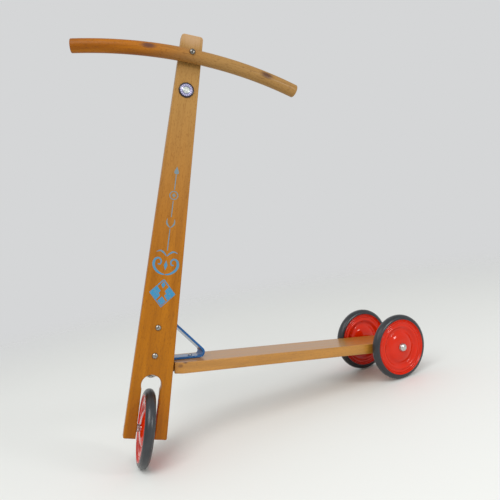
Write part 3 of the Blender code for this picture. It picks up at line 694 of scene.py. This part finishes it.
# ---------- the stem board
# One tapered beech board, steered by the bracket on its back.  Its foot is sawn out to a
# keyhole for the front wheel, the top corners are rounded, and the faded top is paler.
STEM_FRONT = 0.0394
STEM_THICKNESS = 0.02
STEM_BOTTOM = -0.1241
STEM_TOP = 0.6742
STEM_HALF_BOTTOM = 0.0418
STEM_HALF_TOP = 0.0217
SLOT_HALF = 0.018
SLOT_HOLE = 0.0196
SLOT_HEIGHT = -0.0213
STEM_ROUND = 0.0018
STEM_CORNERS = (0.006, 0.003)
STEM_BEECH = ("AC6902", "9A5B00", "744206")
STEM_SHINE = (0.2, 0.08)
STEM_FADE = ("A67E44", 0.15, 0.66, 1.0)
HEAD_WEAR = [((0.0, -STEM_FRONT, 0.672), (0.04, 0.04, 0.03), "C2A07C", 0.6)]
BOLT_RADIUS = 0.0025
BOLT_HEIGHTS = (0.0353, 0.0895)
BAR_BOLT_HEIGHT = 0.6302
stem_side = rounded_path([(0.0, STEM_TOP), (STEM_HALF_TOP, STEM_TOP),
                          (STEM_HALF_BOTTOM, STEM_BOTTOM), (SLOT_HALF, STEM_BOTTOM)],
                         STEM_CORNERS, steps=6)
slot_angle = math.degrees(math.acos(SLOT_HALF / SLOT_HOLE))
keyhole = [(SLOT_HALF, STEM_BOTTOM)] + arc((0.0, SLOT_HEIGHT), SLOT_HOLE, -slot_angle, 90, 20)
right_half = stem_side[1:-1] + keyhole
stem_outline = right_half + [(-x, z) for x, z in reversed(right_half[:-1])]
bm = plate(stem_outline, STEM_THICKNESS, STEM_ROUND)
# The plate lies in XY; stand it up with its top at +Z and its front towards -Y.
FORWARD = Matrix.Rotation(math.pi / 2, 4, 'X')
stem_rear = -STEM_FRONT + STEM_THICKNESS
bmesh.ops.transform(bm, matrix=Matrix.Translation((0, stem_rear, 0)) @ FORWARD, verts=bm.verts)
front_own = stem_place.inverted() @ front_centre
across_stem = Matrix.Rotation(math.pi / 2, 4, 'Y')
board_holes = [(Matrix.Translation((0, 0, height)) @ FORWARD, BOLT_RADIUS, BOARD_BIT)
               for height in (*BOLT_HEIGHTS, BAR_BOLT_HEIGHT)]
board_holes.append((Matrix.Translation(front_own) @ across_stem, AXLE_RADIUS, BOARD_BIT))
bm = drilled(bm, board_holes)
stem_beech = lacquered_beech(
    "lacquered_beech_stem", lambda tree: own_coordinates(tree, stem_place), 2,
    STEM_BEECH, STEM_SHINE, fade=STEM_FADE, smudges=HEAD_WEAR)
finish_piece("stem_plank", bm, stem_place, stem_beech, "stem",
             ["stem_board"], flat_faces=True)

# ---------- the painted ornament
# Blue paint pushed through a stencil onto the lacquer: a drop, a fine broken stalk with a ring
# and two leaves, a pair of volutes and a lozenge.  It is thin and has worn patchy.
PAINT_FILM = 0.00012
LOZENGE_HEIGHT = 0.1563
RING_HEIGHT = 0.349
DROP_HEIGHT = 0.399
DROP_HALF_WIDE = 0.0045
DROP_HALF_HIGH = 0.008
DROP_PEAK = 1.3                  # the greatest value of sin a (1 - cos a)


def stencil_paint():
    """Thin sky-blue stencil paint, full low down and worn to the wood higher up."""
    made, tree = new_material("blue_stencil_paint")
    own = own_coordinates(tree, stem_place)
    worn = node(tree, "ShaderNodeTexNoise", {},
                {"Vector": own, "Scale": 330, "Detail": 4, "Roughness": 0.7})
    part = node(tree, "ShaderNodeMapRange", {},
                {"Value": worn.outputs[0], "From Min": 0.5, "From Max": 0.66,
                 "To Max": 0.75})
    height = node(tree, "ShaderNodeSeparateXYZ", {}, {0: own}).outputs[2]
    rubbed = node(tree, "ShaderNodeMapRange", SMOOTH_STEP,
                  {"Value": height, "From Min": 0.17, "From Max": 0.3, "To Max": 0.55})
    thin = node(tree, "ShaderNodeMath", {"operation": 'MAXIMUM'},
                {0: part.outputs[0], 1: rubbed.outputs[0]})
    colour = node(tree, "ShaderNodeMix", COLOURS,
                  {0: thin.outputs[0], 6: linear("1A82B0"), 7: linear("8C7C4E")})
    shader = node(tree, "ShaderNodeBsdfPrincipled", {},
                  {"Base Color": colour.outputs[2], "Roughness": 0.45,
                   "Coat Weight": 0.3, "Coat Roughness": 0.2})
    return surfaced(made, shader)


def brush(bm, points, widths):
    """A flat stroke through (x, z) points, as wide at each as the widths say."""
    line = [Vector(p) for p in points]
    sides = []
    for i, here in enumerate(line):
        ahead = (line[min(i + 1, len(line) - 1)] - line[max(i - 1, 0)]).normalized()
        share = i / (len(line) - 1) * (len(widths) - 1)
        low = min(int(share), len(widths) - 2)
        wide = widths[low] + (widths[low + 1] - widths[low]) * (share - low)
        across = Vector((-ahead.y, ahead.x)) * wide / 2
        sides.append([bm.verts.new((p.x, 0.0, p.y)) for p in (here - across, here + across)])
    for a, b in zip(sides, sides[1:]):
        bm.faces.new((a[0], b[0], b[1], a[1]))


def lozenge(bm, centre, half_wide, half_high):
    """A filled lozenge."""
    corners = [(0, half_high), (-half_wide, 0), (0, -half_high), (half_wide, 0)]
    bm.faces.new([bm.verts.new((centre[0] + x, 0.0, centre[1] + z)) for x, z in corners])


bm = bmesh.new()
drop = []
for turn in range(0, 360, 15):
    wide, high = math.sin(math.radians(turn)), math.cos(math.radians(turn))
    drop.append((DROP_HALF_WIDE * wide * (1 - high) / DROP_PEAK,
                 DROP_HEIGHT + DROP_HALF_HIGH * high))
bm.faces.new([bm.verts.new((x, 0.0, z)) for x, z in drop])
for low, high in ((0.36, 0.39), (0.306, 0.338), (0.24, 0.283)):
    brush(bm, [(0.0, low), (0.0, (low + high) / 2), (0.0, high)], (0.0016, 0.002, 0.0016))
brush(bm, arc((0.0, RING_HEIGHT), 0.008, 0, 360, 24), (0.0018, 0.0018))
lozenge(bm, (0.0, RING_HEIGHT), 0.0036, 0.0044)
for side in (-1, 1):
    leaf = [(0.0, 0.285), (0.0048, 0.289), (0.0076, 0.295), (0.007, 0.302)]
    brush(bm, [(side * x, z) for x, z in smooth_line(leaf, 5)], (0.001, 0.0036, 0.001))
    volute = [(0.0008, 0.193), (0.009, 0.1945), (0.0185, 0.201), (0.0235, 0.211),
              (0.0215, 0.221), (0.0145, 0.224), (0.0095, 0.219), (0.011, 0.2125),
              (0.0155, 0.2125)]
    brush(bm, [(side * x, z) for x, z in smooth_line(volute, 6)],
          (0.0016, 0.0044, 0.0052, 0.0034, 0.0026, 0.002))
    plume = [(0.0008, 0.229), (0.006, 0.235), (0.013, 0.2385), (0.0205, 0.236)]
    brush(bm, [(side * x, z) for x, z in smooth_line(plume, 6)], (0.0014, 0.0036, 0.001))
lozenge(bm, (0.0, 0.211), 0.0036, 0.01)
frame_line = [(0.0, 0.0265), (-0.0245, 0.0), (0.0, -0.0265), (0.0245, 0.0), (0.0, 0.0265)]
brush(bm, [(x, LOZENGE_HEIGHT + z) for x, z in frame_line], (0.0022, 0.0022))
for side in (-1, 1):
    lobe = [(side * 0.0235, 0.0), (side * 0.011, 0.013), (side * 0.004, 0.0048),
            (side * 0.007, 0.0), (side * 0.004, -0.0048), (side * 0.011, -0.013)]
    bm.faces.new([bm.verts.new((x, 0.0, LOZENGE_HEIGHT + z)) for x, z in lobe])
lozenge(bm, (0.0, LOZENGE_HEIGHT - 0.015), 0.008, 0.0088)
lozenge(bm, (0.0, LOZENGE_HEIGHT + 0.0165), 0.004, 0.007)
bmesh.ops.translate(bm, vec=(0, -STEM_FRONT - PAINT_FILM, 0), verts=bm.verts)
bm.normal_update()
bmesh.ops.reverse_faces(bm, faces=[face for face in bm.faces if face.normal.y > 0])
finish_piece("painted_ornament", bm, stem_place, stencil_paint(), "stem", [])

# ---------- the handlebar
# A round beech bar, steamed and bent down and back at both ends, with a flat planed where it
# lies on the stem.  One half has faded, and two old clamp marks are almost black.
BAR_HEIGHT = 0.6262
BAR_HALF_SPAN = 0.2268
BAR_DROOP = 0.0197
BAR_SWEEP = 0.0233
BAR_RADIUS = 0.0135
BAR_SEAT = 0.0122
BAR_CENTRE = -STEM_FRONT - AIR - BAR_SEAT
BAR_FLAT_HALF = 0.03
BAR_END_ROUND = 0.0016
BAR_STATIONS = 72
BAR_NUDGE = 0.001                # a short way along, to find the bar's direction
BAR_BEECH = ("A66208", "844600", "58300A")
BAR_SHINE = (0.15, 0.05)
BAR_FADE = ("A07A45", 0.1, 0.3, 0.95)
CLAMP_MARKS = [((0.003, 0.013, 0.146), (0.008, 0.009, 0.019), "4C3132", 0.8),
               ((0.0026, 0.0132, 0.386), (0.009, 0.009, 0.02), "45292B", 0.8)]


def bar_point(share):
    """The bar's centre at a share of the half span, from -1 to 1."""
    bow = share * share
    return Vector((BAR_HALF_SPAN * share, BAR_CENTRE + BAR_SWEEP * bow,
                   BAR_HEIGHT - BAR_DROOP * bow))


def bar_section(share):
    """The place of the bar's cross section there, its Z along the bar."""
    ahead = bar_point(share + BAR_NUDGE) - bar_point(share - BAR_NUDGE)
    return framed(bar_point(share), Vector((0, 0, 1)).cross(ahead).cross(ahead) * -1, ahead)


bm = bmesh.new()
grain = bm.verts.layers.float_vector.new("bar_grain")
ring = bmesh.ops.create_circle(bm, cap_ends=True, segments=48, radius=BAR_RADIUS)["verts"]
here = bar_section(-1)
for vert in ring:
    vert[grain] = vert.co.xyz
bmesh.ops.transform(bm, matrix=here, verts=ring)
edges = bm.edges[:]
for i in range(1, BAR_STATIONS + 1):
    there = bar_section(-1 + 2 * i / BAR_STATIONS)
    grown = bmesh.ops.extrude_edge_only(bm, edges=edges)["geom"]
    fresh = [g for g in grown if isinstance(g, bmesh.types.BMVert)]
    edges = [g for g in grown if isinstance(g, bmesh.types.BMEdge)]
    bmesh.ops.transform(bm, matrix=there @ here.inverted(), verts=fresh)
    step = (there.translation - here.translation).length
    for vert in fresh:
        vert[grain] += Vector((0, 0, step))
    here = there
bmesh.ops.contextual_create(bm, geom=edges)
bmesh.ops.recalc_face_normals(bm, faces=bm.faces)
ends = [e for e in bm.edges if e.calc_face_angle(0) > math.radians(60)]
round_over(bm, ends, BAR_END_ROUND, segments=4)
for vert in bm.verts:
    if abs(vert.co.x) < BAR_FLAT_HALF:
        vert.co.y = min(vert.co.y, BAR_CENTRE + BAR_SEAT)
bm = drilled(bm, [(Matrix.Translation((0, BAR_CENTRE, BAR_BOLT_HEIGHT)) @ FORWARD,
                  BOLT_RADIUS, BOARD_BIT)])
bar_beech = lacquered_beech(
    "lacquered_beech_bar",
    lambda tree: node(tree, "ShaderNodeAttribute", {"attribute_name": "bar_grain"},
                      {}).outputs["Vector"],
    2, BAR_BEECH, BAR_SHINE, fade=BAR_FADE, smudges=CLAMP_MARKS)
finish_piece("bent_handlebar", bm, stem_place, bar_beech, "stem",
             ["handlebar"])

# ---------- bolts, nuts and washers
# Dome-head bolts of zinc plated steel.  One holds the bar; two come through the board into
# the hinge bracket.  Each has a plain hexagon nut behind.
BOLT_HEAD = 0.0057
BOLT_RISE = 0.0034
BOLT_PAST_BOARD = 0.007
BOLT_PAST_WEB = 0.005
NUT_FLATS = 0.008
NUT_HEIGHT = 0.004
WASHER_RADIUS = 0.0065
WASHER_THICKNESS = 0.0012
BRACKET_THICKNESS = 0.0025
AGED_ZINC = ("A9A59D", "635E57")
DARK_ZINC = ("85817A", "47433D")
zinc_on_stem = zinc_plate("zinc_plate_stem", stem_place, FRESH_ZINC)
aged_zinc = zinc_plate("zinc_plate_aged", stem_place, AGED_ZINC)
dark_zinc = zinc_plate("zinc_plate_darkened", stem_place, DARK_ZINC)
REARWARD = Matrix.Rotation(-math.pi / 2, 4, 'X')


def put(name, bm, place, turn, nodes, zinc=zinc_on_stem):
    """Set a fitting on the stem at a place, its Z axis turned as told."""
    bmesh.ops.transform(bm, matrix=Matrix.Translation(place) @ turn, verts=bm.verts)
    finish_piece(name, bm, stem_place, zinc, "stem", nodes)


def hexagon_nut(shaft, across_flats, height):
    """A six-sided nut for a shaft, its corners turned off, from Z = 0 up."""
    bm = bmesh.new()
    bmesh.ops.create_cone(bm, cap_ends=False, segments=6, radius1=across_flats / math.sqrt(3),
                          radius2=across_flats / math.sqrt(3), depth=height)
    bmesh.ops.translate(bm, vec=(0, 0, height / 2), verts=bm.verts)
    walls = [e for e in bm.edges if abs(e.verts[0].co.z - e.verts[1].co.z) > height / 2]
    round_over(bm, walls, BROKEN, segments=2)
    for end in (0.0, height):
        rim = [e for e in bm.edges if e.is_boundary
               and all(abs(v.co.z - end) < TOUCHING for v in e.verts)]
        inner = bmesh.ops.create_circle(bm, cap_ends=False, segments=24,
                                        radius=shaft + AIR)["verts"]
        bmesh.ops.translate(bm, vec=(0, 0, end), verts=inner)
        hole = [e for e in bm.edges if all(v in inner for v in e.verts)]
        bmesh.ops.bridge_loops(bm, edges=rim + hole)
    bores = [e for e in bm.edges if e.is_boundary]
    bmesh.ops.bridge_loops(bm, edges=bores)
    bmesh.ops.recalc_face_normals(bm, faces=bm.faces)
    return bm


bar_front = BAR_CENTRE - BAR_RADIUS
put("handlebar_dome_bolt",
    turned_shape(domed_head(BOLT_HEAD, BOLT_RISE, BOLT_RADIUS,
                            -bar_front + stem_rear + BOLT_PAST_BOARD)),
    (0, bar_front, BAR_BOLT_HEIGHT), FORWARD, ["handlebar_bolt"], dark_zinc)
put("handlebar_flat_washer", tube(BOLT_RADIUS, WASHER_RADIUS, 0.0, WASHER_THICKNESS),
    (0, stem_rear + AIR, BAR_BOLT_HEIGHT), REARWARD, ["handlebar_washer"])
put("handlebar_hexagon_nut", hexagon_nut(BOLT_RADIUS, NUT_FLATS, NUT_HEIGHT),
    (0, stem_rear + WASHER_THICKNESS + 2 * AIR, BAR_BOLT_HEIGHT), REARWARD, ["handlebar_nut"])
web_rear = stem_rear + AIR + BRACKET_THICKNESS + AIR
for place, height in zip(("lower", "upper"), BOLT_HEIGHTS):
    put(f"bracket_dome_bolt_{place}",
        turned_shape(domed_head(BOLT_HEAD, BOLT_RISE, BOLT_RADIUS,
                                STEM_FRONT + web_rear + BOLT_PAST_WEB)),
        (0, -STEM_FRONT, height), FORWARD, [f"bracket_bolt_{place}"], aged_zinc)
    put(f"bracket_hexagon_nut_{place}", hexagon_nut(BOLT_RADIUS, NUT_FLATS, NUT_HEIGHT),
        (0, web_rear, height), REARWARD, [f"bracket_nut_{place}"])

# ---------- the hinge
# A C of flat zinc plated steel bolted behind the stem.  The hinge pin, a long dome-head bolt,
# goes up through its lower ear, the plank's nose, both ends of the strap and its upper ear.
EAR_LOW = -0.0078
EAR_HIGH = 0.1227
BRACKET_HALF_WIDTH = 0.0125
BRACKET_BEND = 0.003
EAR_END_RADIUS = 0.01
EAR_TIP = 0.012
BRACKET_BROKEN = 0.0005
PIN_HEAD = 0.0095
PIN_RISE = 0.0036
PIN_PAST_EAR = 0.0085
LOCK_NUT_FLATS = 0.013
LOCK_NUT_HEIGHT = 0.0065
HINGE_WASHER = 0.0085
UPRIGHT = Matrix.Identity(4)
web = stem_rear + AIR + BRACKET_THICKNESS / 2
bracket_path = rounded_path([(EAR_TIP, EAR_LOW), (web, EAR_LOW), (web, EAR_HIGH),
                             (EAR_TIP, EAR_HIGH)], (BRACKET_BEND, BRACKET_BEND), steps=6)
bm = bent_strip(bracket_path, BRACKET_HALF_WIDTH, BRACKET_THICKNESS, EAR_END_RADIUS,
                BRACKET_BROKEN)
span = [v.co.z for v in bm.verts]
bmesh.ops.translate(bm, vec=(0, 0, (EAR_LOW + EAR_HIGH - min(span) - max(span)) / 2),
                    verts=bm.verts)
depth = [v.co.y for v in bm.verts]
bmesh.ops.translate(bm, vec=(0, stem_rear + AIR - min(depth), 0), verts=bm.verts)
web_holes = [(Matrix.Translation((0, web, height)) @ FORWARD, BOLT_RADIUS, SHORT_BIT)
             for height in BOLT_HEIGHTS]
bm = drilled(bm, [(UPRIGHT, PIN_RADIUS, LONG_BIT), *web_holes])
finish_piece("hinge_bracket_bent", bm, stem_place, zinc_on_stem, "stem",
             ["hinge_bracket"], flat_faces=True)
pin_low = EAR_LOW - BRACKET_THICKNESS / 2
pin_high = EAR_HIGH + BRACKET_THICKNESS / 2
put("hinge_pin_bolt",
    turned_shape(domed_head(PIN_HEAD, PIN_RISE, PIN_RADIUS,
                            pin_high - pin_low + PIN_PAST_EAR)),
    (0, 0, pin_low), Matrix.Rotation(math.pi, 4, 'X'), ["hinge_pin"])
put("hinge_lock_nut", hexagon_nut(PIN_RADIUS, LOCK_NUT_FLATS, LOCK_NUT_HEIGHT),
    (0, 0, pin_high + AIR), UPRIGHT, ["hinge_nut"])
put("hinge_washer_below", tube(PIN_RADIUS, HINGE_WASHER, 0.0, WASHER_THICKNESS),
    (0, 0, EAR_LOW + BRACKET_THICKNESS / 2 + AIR), UPRIGHT, ["hinge_washer_lower"])
tab_top = deck_on_pin + TAB_HEIGHT + STRAP_THICKNESS / 2 + AIR
put("hinge_washer_above",
    tube(PIN_RADIUS, HINGE_WASHER, 0.0, EAR_HIGH - BRACKET_THICKNESS / 2 - AIR - tab_top),
    (0, 0, tab_top), UPRIGHT, ["hinge_washer_upper"])

# ---------- front axle and spacers
# A plain rod driven through both legs of the board, its ends just short of the wood's face,
# with a spacer tube on each side of the hub.
AXLE_SHORT = 0.001
SPACER_RADIUS = 0.0075
put("front_axle_rod", plain_rod(STEM_HALF_BOTTOM - AXLE_SHORT), front_own, across_stem,
    ["front_axle"])
for side, sign in (("left", 1), ("right", -1)):
    bm = tube(AXLE_RADIUS, SPACER_RADIUS, HUB_HALF + AIR, SLOT_HALF - AIR, TUBE_BROKEN)
    put(f"front_spacer_tube_{side}", bm, front_own,
        Matrix.Rotation(sign * math.pi / 2, 4, 'Y'), [f"front_spacer_{side}"])

# ---------- the badge
# A pressed and enamelled tin disc: dark scalloped rim, lilac-silver ring with a beaded
# pattern, thin blue line and a pearly middle with a plain rosette.
BADGE_HEIGHT = 0.5611
BADGE_RADIUS = 0.0158
SCALLOPS = 12
SCALLOP_START = 0.0128
SCALLOP_DEPTH = 0.045            # of the radius
badge_turn = Matrix.Translation((0, -STEM_FRONT, BADGE_HEIGHT)) @ FORWARD


def badge_enamel():
    """Enamel colours in rings, read from the distance to the badge's middle."""
    made, tree = new_material("pressed_tin_enamelled")
    own = own_coordinates(tree, stem_place @ badge_turn)
    flat = node(tree, "ShaderNodeSeparateXYZ", {}, {0: own})
    radius = from_axis(tree, own)
    angle = node(tree, "ShaderNodeMath", {"operation": 'ARCTAN2'},
                 {0: flat.outputs[1], 1: flat.outputs[0]}).outputs[0]

    def petals(count):
        """A wave round the middle."""
        many = node(tree, "ShaderNodeMath", {"operation": 'MULTIPLY'}, {0: angle, 1: count})
        return node(tree, "ShaderNodeMath", {"operation": 'COSINE'},
                    {0: many.outputs[0]}).outputs[0]

    def beyond(edge, soft, inside, outside):
        """One colour inside a radius and another outside it."""
        part = node(tree, "ShaderNodeMapRange", {},
                    {"Value": radius, "From Min": edge - soft, "From Max": edge + soft})
        return node(tree, "ShaderNodeMix", COLOURS,
                    {0: part.outputs[0], 6: inside, 7: outside}).outputs[2]

    rosette = node(tree, "ShaderNodeMapRange", {},
                   {"Value": petals(5), "From Min": 0.2, "From Max": 0.9, "To Max": 0.55})
    middle = node(tree, "ShaderNodeMix", COLOURS,
                  {0: rosette.outputs[0], 6: linear("C6CCC6"), 7: linear("7E8C8A")})
    beads = node(tree, "ShaderNodeMapRange", {},
                 {"Value": petals(18), "From Min": -0.3, "From Max": 0.6})
    beaded = node(tree, "ShaderNodeMix", COLOURS,
                  {0: beads.outputs[0], 6: linear("77759E"), 7: linear("C4C0DC")})
    colour = beyond(0.0024, 0.0004, linear("DDE0DA"), middle.outputs[2])
    colour = beyond(0.0066, 0.0003, colour, linear("5A6480"))
    colour = beyond(0.008, 0.0003, colour, beaded.outputs[2])
    colour = beyond(0.0122, 0.0003, colour, linear("120A18"))
    shader = node(tree, "ShaderNodeBsdfPrincipled", {},
                  {"Base Color": colour, "Metallic": 0.25, "Roughness": 0.28,
                   "Coat Weight": 0.4, "Coat Roughness": 0.08})
    return surfaced(made, shader)


badge_profile = smooth_line(((0.0, 0.0020), (0.0030, 0.0019), (0.0058, 0.0014),
                             (0.0068, 0.0011), (0.0078, 0.0013), (0.0100, 0.0019),
                             (0.0120, 0.0021), (0.0132, 0.0024), (0.0146, 0.0023),
                             (0.0155, 0.0015), (BADGE_RADIUS, 0.0006)), 4)
bm = turned_shape([*badge_profile, (BADGE_RADIUS, AIR), (0.0, AIR)], steps=144)
for vert in bm.verts:
    outward = math.hypot(vert.co.x, vert.co.y)
    if outward > SCALLOP_START:
        angle = math.atan2(vert.co.y, vert.co.x)
        scallop = (outward - SCALLOP_START) / (BADGE_RADIUS - SCALLOP_START)
        pull = 1 - SCALLOP_DEPTH * scallop * abs(math.sin(SCALLOPS * angle / 2))
        vert.co.x, vert.co.y = vert.co.x * pull, vert.co.y * pull
bmesh.ops.transform(bm, matrix=badge_turn, verts=bm.verts)
finish_piece("enamelled_badge", bm, stem_place, badge_enamel(), "stem", ["badge"])
